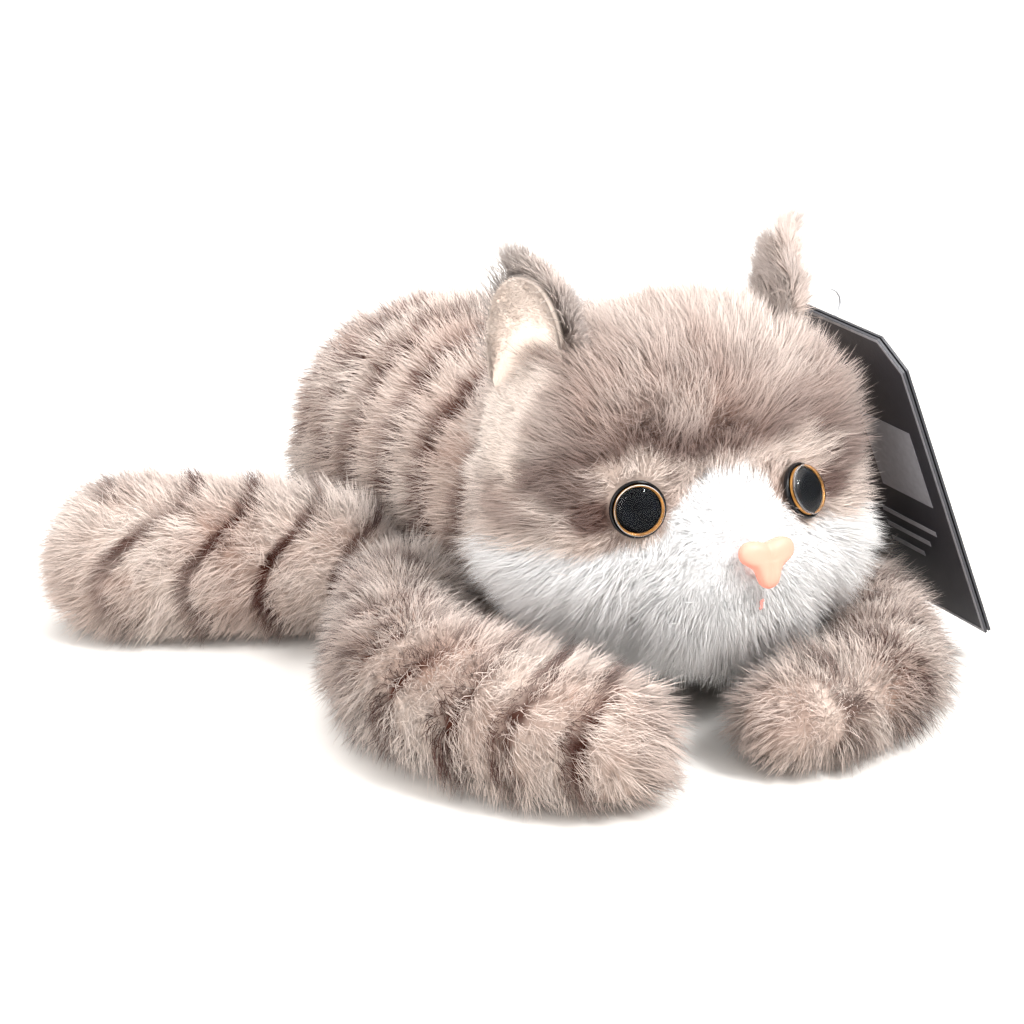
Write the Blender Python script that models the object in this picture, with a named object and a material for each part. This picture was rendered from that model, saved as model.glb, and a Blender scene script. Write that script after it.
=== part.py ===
"""Plush cat lying down, built as separate sewn panels, fillings, eyes, nose, ears and swing tag.

Units are metres, +Z is up, the cat looks along -Y and its left side is +X.
Lengths below are given in millimetres and scaled once by MM.
"""
import math

import bmesh
import bpy
from mathutils import Matrix, Vector

MM = 0.001

# ---- driving dimensions, millimetres ----
PILE_CLOTH = 3.0          # thickness of a plush panel
SEAM = 0.45               # half the gap left at each seam
FILL_GAP = 1.0            # gap between a panel and its filling
RING = 16                 # points around a limb or torso
HEAD_C = Vector((0.0, 0.0, 62.0))
HEAD_SIDE = 50.5
HEAD_FRONT = 34.0
HEAD_BACK = 43.0
HEAD_TALL = 42.0
HEAD_SQUARE = 2.5         # exponent of the head's main form; 2 would be an ellipsoid
EYE_R = 7.4
# the face looks a few degrees towards the cat's right
EYE_DIRS = {"left": Vector((19.6, -33.2, 0.0)), "right": Vector((-26.3, -30.7, 1.5))}
NOSE_DIR = Vector((0.0, -49.0, -12.0))
NECK_DISH = (52.0, 50.0)  # clearance spheroid round the head: radius, half height
EAR_R = 13.5
EAR_BASE_SLOPE = 0.5      # how steeply the ear's foot rises towards the crown
EAR_REAR_DROP = 11.0      # how far the foot's rear end runs down the side of the head
TAG_W = 50.0
TAG_L = 92.0
TAG_T = 0.7

COLOURS = {
    "plush_taupe": ((0.42, 0.35, 0.31), 0.95),
    "plush_white": ((0.86, 0.86, 0.87), 0.95),
    "plush_cream": ((0.80, 0.68, 0.58), 0.95),
    "velour": ((0.83, 0.70, 0.58), 0.9),
    "fibre": ((0.93, 0.93, 0.91), 1.0),
    "bean_bag": ((0.80, 0.78, 0.72), 0.85),
    "eye_black": ((0.01, 0.01, 0.012), 0.15),
    "eye_gold": ((0.48, 0.28, 0.09), 0.3),
    "eye_clear": ((0.05, 0.04, 0.03), 0.05),
    "washer": ((0.85, 0.85, 0.83), 0.5),
    "nose_pink": ((0.90, 0.41, 0.31), 0.4),
    "thread_pink": ((0.85, 0.38, 0.33), 0.8),
    "tag_card": ((0.02, 0.02, 0.025), 0.45),
    "label_satin": ((0.92, 0.92, 0.92), 0.5),
    "clear_plastic": ((0.85, 0.86, 0.87), 0.3),
}


def clear_scene():
    for ob in list(bpy.data.objects):
        bpy.data.objects.remove(ob, do_unlink=True)


def material(slot):
    mat = bpy.data.materials.get(slot)
    if mat is None:
        colour, rough = COLOURS[slot]
        mat = bpy.data.materials.new(slot)
        mat.use_nodes = True
        shader = mat.node_tree.nodes["Principled BSDF"]
        shader.inputs["Base Color"].default_value = (*colour, 1.0)
        shader.inputs["Roughness"].default_value = rough
        shader.inputs["Metallic"].default_value = 0.0
    return mat


def make_object(name, bm, slot, smooth=True, matrix=None):
    """Turn a bmesh in millimetres into a named object in metres."""
    if matrix is not None:
        bmesh.ops.transform(bm, matrix=matrix, verts=bm.verts)
    bmesh.ops.scale(bm, vec=(MM, MM, MM), verts=bm.verts)
    bmesh.ops.remove_doubles(bm, verts=bm.verts, dist=1e-6)
    bmesh.ops.recalc_face_normals(bm, faces=bm.faces)
    mesh = bpy.data.meshes.new(name)
    bm.to_mesh(mesh)
    bm.free()
    for poly in mesh.polygons:
        poly.use_smooth = smooth
    ob = bpy.data.objects.new(name, mesh)
    ob.data.materials.append(material(slot))
    bpy.context.scene.collection.objects.link(ob)
    return ob


# ---- soft bodies as stacks of rings; offset shrinks the whole surface inwards ----

class Spindle:
    """A round-ended soft body along a path; stations are (x, y, half width, half height)."""

    def __init__(self, stations, cap, steps, dish=None, drop=2.0):
        self.stations = [Vector(s) for s in stations]
        self.cap = cap
        self.steps = steps
        self.dish = dish
        self.drop = drop

    def at(self, t):
        """Smooth curve through the stations, t from 0 to 1."""
        pts = self.stations
        n = len(pts) - 1
        i = min(int(t * n), n - 1)
        f = t * n - i
        p0 = pts[max(i - 1, 0)]
        p1 = pts[i]
        p2 = pts[i + 1]
        p3 = pts[min(i + 2, n)]
        return (0.5 * ((2 * p1) + (p2 - p0) * f + (2 * p0 - 5 * p1 + 4 * p2 - p3) * f * f
                + (3 * p1 - p0 - 3 * p2 + p3) * f ** 3))

    def length(self):
        marks = [self.at(k / 60.0).xy for k in range(61)]
        return sum((b - a).length for a, b in zip(marks, marks[1:]))

    def frame(self, t):
        here = self.at(t)
        ahead = self.at(min(t + 0.01, 1.0)).xy - self.at(max(t - 0.01, 0.0)).xy
        ahead.normalize()
        return here, Vector((ahead.x, ahead.y, 0.0)), Vector((ahead.y, -ahead.x, 0.0))

    def rings(self, offset):
        """Rings of points from one end to the other, tips first and last."""
        total = self.length()
        cap_t = self.cap / total
        profile = []
        for deg in (0, 24, 48, 70):
            a = math.radians(deg)
            profile.append((cap_t * (1 - math.cos(a)), math.sin(a)))
        for k in range(self.steps + 1):
            profile.append((cap_t + (1 - 2 * cap_t) * k / self.steps, 1.0))
        for deg in (70, 48, 24, 0):
            a = math.radians(deg)
            profile.append((1 - cap_t * (1 - math.cos(a)), math.sin(a)))
        out = []
        for t, grow in profile:
            inset = offset / total
            t = inset + (1 - 2 * inset) * t
            here, _along, side = self.frame(t)
            wide = (here.z - offset) * grow
            tall = (here.w - offset) * grow
            mid = here.w - self.drop
            ring = []
            for j in range(RING):
                a = 2 * math.pi * j / RING
                p = Vector((here.x, here.y, 0.0)) + side * (wide * math.cos(a))
                p.z = max(mid + tall * math.sin(a), offset)
                ring.append(self.dished(p, offset))
            out.append(ring)
        return out

    def dished(self, p, offset):
        """Hollow the front end so the turning head stays clear of it."""
        if self.dish is None:
            return p
        radius, half = self.dish[0] + offset, self.dish[1] + offset
        room = 1.0 - (p.x / radius) ** 2 - ((p.z - HEAD_C.z) / half) ** 2
        if room > 0.0:
            p.y = max(p.y, radius * math.sqrt(room))
        return p


class Head:
    """Head surface as a distance from HEAD_C along each direction."""
    LUMPS = (
        (Vector((0, -26, -18)), Vector((27, 22, 26))),
        (Vector((22, -8, -14.5)), Vector((26, 25, 26.5))),
        (Vector((-22, -8, -14.5)), Vector((26, 25, 26.5))),
    )

    def reach(self, d):
        depth = HEAD_FRONT if d.y < 0 else HEAD_BACK
        main = sum(abs(c / r) ** HEAD_SQUARE for c, r in zip(d, (HEAD_SIDE, depth, HEAD_TALL))) ** (-1 / HEAD_SQUARE)
        total = main ** 14
        for centre, radii in self.LUMPS:
            a = sum((d[i] / radii[i]) ** 2 for i in range(3))
            b = sum(-2 * d[i] * centre[i] / radii[i] ** 2 for i in range(3))
            c = sum((centre[i] / radii[i]) ** 2 for i in range(3)) - 1
            disc = b * b - 4 * a * c
            if disc > 0:
                far = (-b + math.sqrt(disc)) / (2 * a)
                total += max(far, 0.0) ** 14
        return total ** (1 / 14)

    def point(self, d, offset=0.0):
        d = d.normalized()
        return HEAD_C + d * (self.reach(d) - offset)

    def normal(self, d):
        d = d.normalized()
        u = d.orthogonal().normalized() * 0.03
        v = d.cross(u)
        a = self.point(d + u) - self.point(d - u)
        b = self.point(d + v) - self.point(d - v)
        n = a.cross(b).normalized()
        return n if n.dot(d) > 0 else -n

    def rings(self, offset):
        around, down = 24, 14
        out = []
        for k in range(down + 1):
            lat = math.pi * k / down
            ring = []
            for j in range(around):
                a = 2 * math.pi * (j + 0.5) / around
                d = Vector((math.sin(lat) * math.cos(a), math.sin(lat) * math.sin(a), math.cos(lat)))
                ring.append(self.point(d, offset))
            out.append(ring)
        return out


def ring_surface(body, offset, inner_offset=None):
    """Closed bmesh over a body's rings; keeps each point's inner twin in a vertex layer."""
    bm = bmesh.new()
    layer = bm.verts.layers.float_vector.new("inner")
    outer = body.rings(offset)
    inner = body.rings(inner_offset if inner_offset is not None else offset)
    rows = []
    for k, (ring_out, ring_in) in enumerate(zip(outer, inner)):
        if k in (0, len(outer) - 1):
            v = bm.verts.new(sum(ring_out, Vector()) / len(ring_out))
            v[layer] = sum(ring_in, Vector()) / len(ring_in)
            rows.append([v])
            continue
        row = []
        for p, q in zip(ring_out, ring_in):
            v = bm.verts.new(p)
            v[layer] = q
            row.append(v)
        rows.append(row)
    for low, high in zip(rows, rows[1:]):
        count = max(len(low), len(high))
        for j in range(count):
            a = low[j % len(low)]
            b = low[(j + 1) % len(low)]
            c = high[(j + 1) % len(high)]
            d = high[j % len(high)]
            corners = []
            for v in (a, b, c, d):
                if v not in corners:
                    corners.append(v)
            bm.faces.new(corners)
    bmesh.ops.recalc_face_normals(bm, faces=bm.faces)
    return bm, layer


def cut(bm, point, keep, close):
    """Keep the side of a plane that `keep` points to; optionally cap the cut."""
    geom = list(bm.verts) + list(bm.edges) + list(bm.faces)
    result = bmesh.ops.bisect_plane(bm, geom=geom, dist=1e-4, plane_co=point, plane_no=keep, clear_inner=True)
    if close:
        edges = [e for e in result["geom_cut"] if isinstance(e, bmesh.types.BMEdge)]
        bmesh.ops.holes_fill(bm, edges=edges, sides=0)


def panel(name, body, planes, slot):
    """A sewn panel: part of a body's surface, PILE_CLOTH thick, open along its seams."""
    bm, layer = ring_surface(body, 0.0, PILE_CLOTH)
    for point, keep in planes:
        cut(bm, Vector(point), Vector(keep), close=False)
    twins = {v: bm.verts.new(v[layer]) for v in list(bm.verts)}
    faces = list(bm.faces)
    rims = [e for e in bm.edges if len(e.link_faces) == 1]
    for f in faces:
        bm.faces.new([twins[v] for v in reversed(f.verts)])
    for e in rims:
        a, b = e.verts
        bm.faces.new([a, b, twins[b], twins[a]])
    return make_object(name, bm, slot)


def filling(name, body, planes, slot, extra=0.0):
    """A solid filling inside the panels, cut flat where the next filling starts."""
    bm, _layer = ring_surface(body, PILE_CLOTH + FILL_GAP + extra)
    for point, keep in planes:
        cut(bm, Vector(point), Vector(keep), close=True)
    bmesh.ops.triangulate(bm, faces=[f for f in bm.faces if len(f.verts) > 4])
    return make_object(name, bm, slot)


def lathe(name, profile, slot, matrix, segments=16, closed_ring=False):
    """Turn (radius, height) points about Z; points of radius 0 close the ends."""
    bm = bmesh.new()
    rows = []
    for radius, height in profile:
        if radius == 0:
            rows.append([bm.verts.new((0, 0, height))])
            continue
        rows.append([bm.verts.new((radius * math.cos(2 * math.pi * j / segments),
                                   radius * math.sin(2 * math.pi * j / segments), height))
                     for j in range(segments)])
    pairs = list(zip(rows, rows[1:]))
    if closed_ring:
        pairs.append((rows[-1], rows[0]))
    for low, high in pairs:
        for j in range(segments):
            corners = []
            for v in (low[j % len(low)], low[(j + 1) % len(low)],
                      high[(j + 1) % len(high)], high[j % len(high)]):
                if v not in corners:
                    corners.append(v)
            bm.faces.new(corners)
    return make_object(name, bm, slot, matrix=matrix)


def along(origin, axis):
    """Matrix that puts local +Z along axis at origin."""
    return Matrix.Translation(origin) @ axis.to_track_quat("Z", "Y").to_matrix().to_4x4()


def hole(target, name, radius, start, stop, matrix):
    """Cut a round hole in target with a hidden cutter."""
    profile = [(0, start), (radius, start), (radius, stop), (0, stop)]
    cutter = lathe(name, profile, "washer", matrix, segments=12)
    cutter.hide_render = True
    cutter.display_type = "WIRE"
    for ob in target:
        mod = ob.modifiers.new(name, "BOOLEAN")
        mod.operation = "DIFFERENCE"
        mod.solver = "EXACT"
        mod.object = cutter


# ---- bodies ----
HEAD = Head()
TORSO = Spindle(
    [(0, 20, 26, 24), (0, 45, 34, 31), (-2, 70, 39.5, 38), (-5, 92, 41, 40.5), (-9, 114, 42, 42),
     (-13, 138, 38, 38), (-14, 160, 31, 30)], cap=26, steps=7, dish=NECK_DISH, drop=3.0)

LEGS = {
    "fore_right": Spindle([(-50, 54, 18, 18), (-70, 20, 18.5, 19), (-77, -14, 19, 20), (-63, -46, 19, 19),
                           (-40, -70, 17, 17)], cap=17, steps=6),
    "fore_left": Spindle([(51, 55, 18, 18), (58, 22, 18.5, 18), (53, -13, 17.5, 14.2), (35, -47, 17, 13.5),
                          (-12, -65, 16, 14)], cap=16, steps=6),
    "hind_right": Spindle([(-47, 71, 19, 18.5), (-72, 84, 21.5, 21), (-101, 99, 22.5, 22.5),
                           (-132, 116, 21.5, 21.5)], cap=17, steps=3),
    "hind_left": Spindle([(47, 73, 19, 18.5), (70, 90, 21.5, 21), (93, 110, 22.5, 22),
                          (117.5, 133, 21.5, 21)], cap=17, steps=3),
}
TAIL = Spindle([(6, 160, 10.5, 10.5), (19, 174, 10.5, 10.5), (46, 181.3, 10, 10), (80, 178, 9, 9)],
               cap=9, steps=6, drop=1.0)


def build_head():
    slope = Vector((1.0, 0.0, 0.9)).normalized()
    mirror = Vector((-1.0, 0.0, 0.9)).normalized()
    peak = Vector((0.0, 0.0, 70.0))
    back_y = 9.0
    front = ((0, back_y - SEAM, 0), (0, -1, 0))
    panel("head_back_panel", HEAD, [((0, back_y + SEAM, 0), (0, 1, 0))], "plush_taupe")
    crowns = []
    for side, word in ((1, "left"), (-1, "right")):
        edge = slope if side > 0 else mirror
        crowns.append(panel("head_crown_panel_" + word, HEAD, [
            front, ((side * SEAM, 0, 0), (side, 0, 0)),
            (peak + edge * SEAM, edge), ((0, 0, 50 + SEAM), (0, 0, 1))], "plush_taupe"))
        panel("head_cheek_panel_" + word, HEAD, [
            front, (peak + edge * SEAM, edge), ((0, 0, 50 - SEAM), (0, 0, -1))], "plush_white")
    muzzle = panel("head_muzzle_panel", HEAD, [
        front, (peak - slope * SEAM, -slope), (peak - mirror * SEAM, -mirror)], "plush_white")
    stuffing = filling("head_stuffing", HEAD, [], "fibre", extra=1.5)

    for side, word in ((1, "left"), (-1, "right")):
        d = EYE_DIRS[word]
        build_eye(word, along(HEAD.point(d), HEAD.normal(d)), crowns[0 if side > 0 else 1], stuffing)
    build_nose(along(HEAD.point(NOSE_DIR), HEAD.normal(NOSE_DIR)), muzzle, stuffing)

    stitch_dir = Vector((0.0, -46.0, -22.5))
    spot = along(HEAD.point(stitch_dir), HEAD.normal(stitch_dir))
    bm = bmesh.new()
    bmesh.ops.create_cube(bm, size=1.0, matrix=Matrix.Translation((0, 0, 1.1)) @ Matrix.Diagonal((1.4, 6.0, 1.2, 1)))
    stitch = make_object("mouth_stitch", bm, "thread_pink", matrix=spot)
    stitch.data.materials[0] = material("thread_pink")


def build_eye(word, place, crown, stuffing):
    """Safety eye: black back with stem, gold ring, clear dome outside; lock washer inside."""
    lift = 2.7
    lathe("eye_back_" + word, [
        (0, -9.0), (2.2, -9.0), (2.2, lift), (EYE_R, lift), (EYE_R, lift + 1.4), (0, lift + 1.4)],
        "eye_black", place)
    base = lift + 1.4 + 0.3
    lathe("eye_gold_ring_" + word, [
        (5.2, base), (6.6, base), (6.6, base + 0.5), (5.2, base + 0.5)], "eye_gold", place, closed_ring=True)
    lathe("eye_pupil_" + word, [(0, base), (4.8, base), (4.8, base + 0.5), (0, base + 0.5)], "eye_black", place)
    dome = base + 0.8
    profile = [(0, dome), (EYE_R - 0.2, dome)]
    for k in range(1, 5):
        a = math.radians(90 * k / 5)
        profile.append(((EYE_R - 0.2) * math.cos(a), dome + 3.0 * math.sin(a)))
    profile.append((0, dome + 3.0))
    lathe("eye_clear_dome_" + word, profile, "eye_clear", place)
    lathe("eye_washer_" + word, [(2.5, -7.2), (6.0, -7.2), (6.0, -6.0), (2.5, -6.0)], "washer", place,
          closed_ring=True)
    hole([crown], "cut_eye_skin_" + word, 2.7, -7.0, 5.0, place)
    hole([stuffing], "cut_eye_fill_" + word, 7.0, -12.0, 3.0, place)


def build_nose(place, muzzle, stuffing):
    """Moulded triangular nose with a stem through the muzzle panel and a washer behind it."""
    outline = [(-7.6, 4.6), (-4.0, 6.2), (0.0, 5.2), (4.0, 6.2), (7.6, 4.6), (7.8, 1.8), (4.6, -1.2),
               (1.9, -3.0), (1.6, -6.0), (0.0, -6.6), (-1.6, -6.0), (-1.9, -3.0), (-4.6, -1.2), (-7.8, 1.8)]
    bm = bmesh.new()
    layers = []
    base = 2.2
    for height, shrink in ((base, 0.94), (base + 2.0, 1.0), (base + 3.6, 0.84)):
        layers.append([bm.verts.new((x * shrink, y * shrink, height)) for x, y in outline])
    for low, high in zip(layers, layers[1:]):
        for j in range(len(outline)):
            k = (j + 1) % len(outline)
            bm.faces.new((low[j], low[k], high[k], high[j]))
    top = bm.verts.new((0, 0.6, base + 4.4))
    for j in range(len(outline)):
        bm.faces.new((layers[2][j], layers[2][(j + 1) % len(outline)], top))
    stem = [[bm.verts.new((x * 0.19, y * 0.19, height)) for x, y in outline] for height in (base, -9.0)]
    for j in range(len(outline)):
        k = (j + 1) % len(outline)
        bm.faces.new((layers[0][k], layers[0][j], stem[0][j], stem[0][k]))
        bm.faces.new((stem[0][k], stem[0][j], stem[1][j], stem[1][k]))
    bm.faces.new(stem[1])
    turned = place @ upright(place)
    make_object("nose", bm, "nose_pink", matrix=turned)
    lathe("nose_washer", [(1.9, -7.4), (5.0, -7.4), (5.0, -6.2), (1.9, -6.2)], "washer", place, closed_ring=True)
    hole([muzzle], "cut_nose_skin", 2.0, -7.0, 4.0, place)
    hole([stuffing], "cut_nose_fill", 6.2, -12.0, 2.0, place)


def upright(place):
    """Rotation about local Z that turns local +Y to point up in the world."""
    up = place.to_3x3().inverted() @ Vector((0, 0, 1))
    return Matrix.Rotation(math.atan2(-up.x, up.y), 4, "Z")


def ear_plate(name, slot, thickness, back, radius, side, matrix):
    """Half-round cupped plate, its flat side down on the head; the cup opens towards local -Y."""
    bm = bmesh.new()
    cols, rows = 8, 4
    sheets = []
    for depth in (back, back + thickness):
        grid = []
        for i in range(rows + 1):
            line = []
            for j in range(cols + 1):
                a = math.pi * j / cols
                r = radius * i / rows
                if i == 0:
                    x = radius * 0.9 * math.cos(a)
                    z = 0.0
                else:
                    x = radius * math.cos(a)
                    z = 1.25 * radius * math.sin(a) * i / rows
                y = depth + 0.03 * (EAR_R ** 2 - x ** 2 - 0.3 * (z - 0.5 * EAR_R) ** 2)
                rear = max(side * x / EAR_R, 0.0)
                z += (EAR_BASE_SLOPE * y - EAR_REAR_DROP * rear ** 1.5) * (1 - z / (1.25 * radius))
                line.append(bm.verts.new((x, y, z)))
            grid.append(line)
        sheets.append(grid)
    front, rear = sheets
    for grid in sheets:
        for i in range(rows):
            for j in range(cols):
                bm.faces.new((grid[i][j], grid[i][j + 1], grid[i + 1][j + 1], grid[i + 1][j]))
    border = [(0, j) for j in range(cols + 1)] + [(i, cols) for i in range(1, rows + 1)]
    border += [(rows, j) for j in range(cols - 1, -1, -1)] + [(i, 0) for i in range(rows - 1, 0, -1)]
    for (i, j), (k, m) in zip(border, border[1:] + border[:1]):
        bm.faces.new((front[i][j], front[k][m], rear[k][m], rear[i][j]))
    bmesh.ops.remove_doubles(bm, verts=bm.verts, dist=1e-4)
    bmesh.ops.dissolve_degenerate(bm, edges=bm.edges, dist=1e-4)
    return make_object(name, bm, slot, matrix=matrix)


def build_ears():
    for side, word in ((1, "left"), (-1, "right")):
        d = Vector((side * 36.5, 6.0, 34.0))
        root = HEAD.point(d) + d.normalized() * 4.4
        turn = Matrix.Rotation(math.radians(side * 66), 4, "Z")
        lean = Matrix.Rotation(math.radians(side * 14), 4, "Y")
        place = Matrix.Translation(root) @ lean @ turn
        ear_plate("ear_plush_" + word, "plush_taupe", 3.0, 0.0, EAR_R, side, place)
        ear_plate("ear_lining_" + word, "velour", 1.4, -2.0, EAR_R - 1.7, side,
                  place @ Matrix.Translation((0, 0, 0.6)))


def build_torso():
    belly_z = 15.0
    panel("belly_panel", TORSO, [((0, 0, belly_z - SEAM), (0, 0, -1))], "plush_cream")
    for side, word in ((1, "left"), (-1, "right")):
        panel("back_panel_" + word, TORSO, [
            ((0, 0, belly_z + SEAM), (0, 0, 1)), ((-4 + side * SEAM, 0, 0), (side, 0, 0))], "plush_taupe")
    rump_y = 122.0
    bean_z = 24.0
    filling("torso_stuffing", TORSO, [((0, rump_y - SEAM, 0), (0, -1, 0)), ((0, 0, bean_z + SEAM), (0, 0, 1))],
            "fibre", extra=1.5)
    filling("belly_bean_bag", TORSO, [((0, rump_y - SEAM, 0), (0, -1, 0)), ((0, 0, bean_z - SEAM), (0, 0, -1))],
            "bean_bag", extra=1.5)
    filling("rump_bean_bag", TORSO, [((0, rump_y + SEAM, 0), (0, 1, 0))], "bean_bag")
    axis = Vector((0.0, 0.86, -0.51)).normalized()
    reach = (HEAD.point(axis) - HEAD_C).length
    place = along(HEAD_C, axis)
    lathe("neck_gusset", [(7.5, reach + 1.4), (11.0, reach + 1.4), (11.0, reach + 3.4), (7.5, reach + 3.4)],
          "plush_taupe", place, closed_ring=True)


def build_leg(word, body, pouch_t):
    height = body.stations[1].w - body.drop
    panel("leg_top_" + word, body, [((0, 0, height + SEAM), (0, 0, 1))], "plush_taupe")
    panel("leg_under_" + word, body, [((0, 0, height - SEAM), (0, 0, -1))], "plush_cream")
    here, ahead, _side = body.frame(pouch_t)
    spot = Vector((here.x, here.y, 0.0))
    filling("leg_stuffing_" + word, body, [(spot - ahead * SEAM, -ahead)], "fibre")
    filling("paw_bean_bag_" + word, body, [(spot + ahead * SEAM, ahead)], "bean_bag")


def build_tail():
    height = TAIL.stations[1].w - TAIL.drop
    panel("tail_top", TAIL, [((0, 0, height + SEAM), (0, 0, 1))], "plush_taupe")
    panel("tail_under", TAIL, [((0, 0, height - SEAM), (0, 0, -1))], "plush_taupe")
    filling("tail_stuffing", TAIL, [], "fibre")


def card(name, x_mid, notch, thickness, matrix):
    """Flat card with clipped front corners and a hole at its back top corner; local -Z is down."""
    bm = bmesh.new()
    half = thickness / 2
    hole_c = (-6.5, -8.5)
    loop = [(0.0, 0.0), (0.0, -TAG_L), (-TAG_W, -TAG_L), (-TAG_W, -notch), (-TAG_W + notch, 0.0)]
    ring = []
    for j in range(16):
        a = 2 * math.pi * j / 16
        ring.append((hole_c[0] + 2.2 * math.cos(a), hole_c[1] + 2.2 * math.sin(a)))
    edges = []
    verts_out = [bm.verts.new((x_mid - half, y, z)) for y, z in loop]
    verts_in = [bm.verts.new((x_mid - half, y, z)) for y, z in ring]
    for verts in (verts_out, verts_in):
        for a, b in zip(verts, verts[1:] + verts[:1]):
            edges.append(bm.edges.new((a, b)))
    bmesh.ops.triangle_fill(bm, use_beauty=True, use_dissolve=False, edges=edges)
    flat = list(bm.faces)
    grown = bmesh.ops.extrude_face_region(bm, geom=flat)
    moved = [g for g in grown["geom"] if isinstance(g, bmesh.types.BMVert)]
    bmesh.ops.translate(bm, vec=(thickness, 0, 0), verts=moved)
    return make_object(name, bm, "tag_card", smooth=False, matrix=matrix)


TAG_TOP = Vector((51.5, 23.0, 94.5))
TAG_LEAN = 21.7


def build_tag():
    place = Matrix.Translation(TAG_TOP) @ Matrix.Rotation(math.radians(-TAG_LEAN), 4, "Y")
    card("tag_inner_card", 0.0, 8.0, TAG_T, place)
    card("tag_outer_card", TAG_T + 0.5, 8.0, TAG_T, place)
    bm = bmesh.new()
    count, sides = 20, 6
    rows = []
    for i in range(count):
        a = 2 * math.pi * i / count
        centre = Vector((1.5 + 9.4 * math.cos(a), -6.5, -2.2 + 6.3 * math.sin(a)))
        out = Vector((math.cos(a), 0, math.sin(a)))
        rows.append([bm.verts.new(centre + out * (0.55 * math.cos(2 * math.pi * j / sides))
                                  + Vector((0, 0.55 * math.sin(2 * math.pi * j / sides), 0)))
                     for j in range(sides)])
    for i in range(count):
        for j in range(sides):
            k = (j + 1) % sides
            m = (i + 1) % count
            bm.faces.new((rows[i][j], rows[m][j], rows[m][k], rows[i][k]))
    make_object("tag_fastener_loop", bm, "clear_plastic", matrix=place)


def build_label():
    bm = bmesh.new()
    bmesh.ops.create_cube(bm, size=1.0, matrix=Matrix.Translation((26.5, 152.7, 24.0))
                          @ Matrix.Rotation(math.radians(-42), 4, "Z") @ Matrix.Diagonal((0.6, 16.0, 12.0, 1)))
    make_object("care_label", bm, "label_satin", smooth=False)


def centre_on_floor():
    """Move everything so the origin is under the middle of the part's box, on the floor."""
    solids = [ob for ob in bpy.data.objects if not ob.hide_render]
    points = [v.co for ob in solids for v in ob.data.vertices]
    middle = [(min(p[i] for p in points) + max(p[i] for p in points)) / 2 for i in (0, 1)]
    low = min(p[2] for p in points)
    for ob in bpy.data.objects:
        ob.data.transform(Matrix.Translation((-middle[0], -middle[1], -low)))
    print("moved by", [round(-m / MM, 3) for m in middle], round(-low / MM, 3), "mm")


clear_scene()
build_head()
build_ears()
build_torso()
for leg_word, leg_body in LEGS.items():
    build_leg(leg_word, leg_body, 0.62)
build_tail()
build_tag()
build_label()
centre_on_floor()
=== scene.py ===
"""Looks for the lying plush cat: skins, pile, eyes, nose, ears, tag, floor, lights and camera.

Shapes are worked out in millimetres in the pattern's own frame and moved once into the part's frame.
"""
import math

import bpy
import numpy as np
from mathutils import Matrix, Vector

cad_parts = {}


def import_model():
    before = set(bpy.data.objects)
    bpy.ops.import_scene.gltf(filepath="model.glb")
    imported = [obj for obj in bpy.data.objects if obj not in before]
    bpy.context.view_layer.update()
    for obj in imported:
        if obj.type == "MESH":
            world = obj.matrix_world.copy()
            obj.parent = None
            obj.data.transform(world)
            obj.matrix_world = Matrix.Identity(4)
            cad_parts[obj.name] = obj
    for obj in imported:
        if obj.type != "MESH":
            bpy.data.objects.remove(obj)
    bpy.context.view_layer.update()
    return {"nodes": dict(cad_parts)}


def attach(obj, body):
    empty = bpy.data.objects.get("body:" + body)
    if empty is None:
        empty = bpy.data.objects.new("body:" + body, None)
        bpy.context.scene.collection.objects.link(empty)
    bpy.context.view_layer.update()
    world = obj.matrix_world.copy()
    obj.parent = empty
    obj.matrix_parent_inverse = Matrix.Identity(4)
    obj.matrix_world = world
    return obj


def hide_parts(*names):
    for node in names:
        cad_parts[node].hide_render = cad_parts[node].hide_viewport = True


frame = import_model()

MM = 0.001
SHIFT = np.array([5.312, -56.998, 0.0])     # pattern frame to part frame, millimetres
RNG = np.random.default_rng(11)

# ---- pattern shapes, millimetres ----
HEAD_C = np.array([0.0, 0.0, 62.0])
HEAD_SIDE, HEAD_FRONT, HEAD_BACK, HEAD_TALL = 50.5, 34.0, 43.0, 42.0
HEAD_SQUARE = 2.5
LUMPS = (((0, -26, -18), (27, 22, 26)), ((22, -8, -14.5), (26, 25, 26.5)), ((-22, -8, -14.5), (26, 25, 26.5)))
EYE_DIRS = {"left": (19.6, -33.2, 0.0), "right": (-26.3, -30.7, 1.5)}
NOSE_DIR = (0.0, -49.0, -12.0)
EYE_R = 7.4
EYE_SINK = -0.8                              # the visible eye sits this far below the head surface
NOSE_SINK = 1.0
MOUTH_DIR = (0.0, -46.0, -22.5)
EAR_R = 13.5
EAR_BASE_SLOPE = 0.5
EAR_REAR_DROP = 11.0
EAR_DIR = (36.5, 6.0, 34.0)
EAR_LIFT = 4.4                               # root above the head surface
EAR_TURN, EAR_LEAN = 66, 14                  # degrees
EAR_CURL = 0.03
LABEL_AT, LABEL_TURN = (26.5, 152.7, 24.0), -42
EAR_SKIRT = 7.5                              # how far the sheets run on below the ear's foot, into the head
SKIN = 3.0                                   # how far the cloth lies inside the pile's middle
NECK_DISH = (52.0, 50.0)

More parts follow.
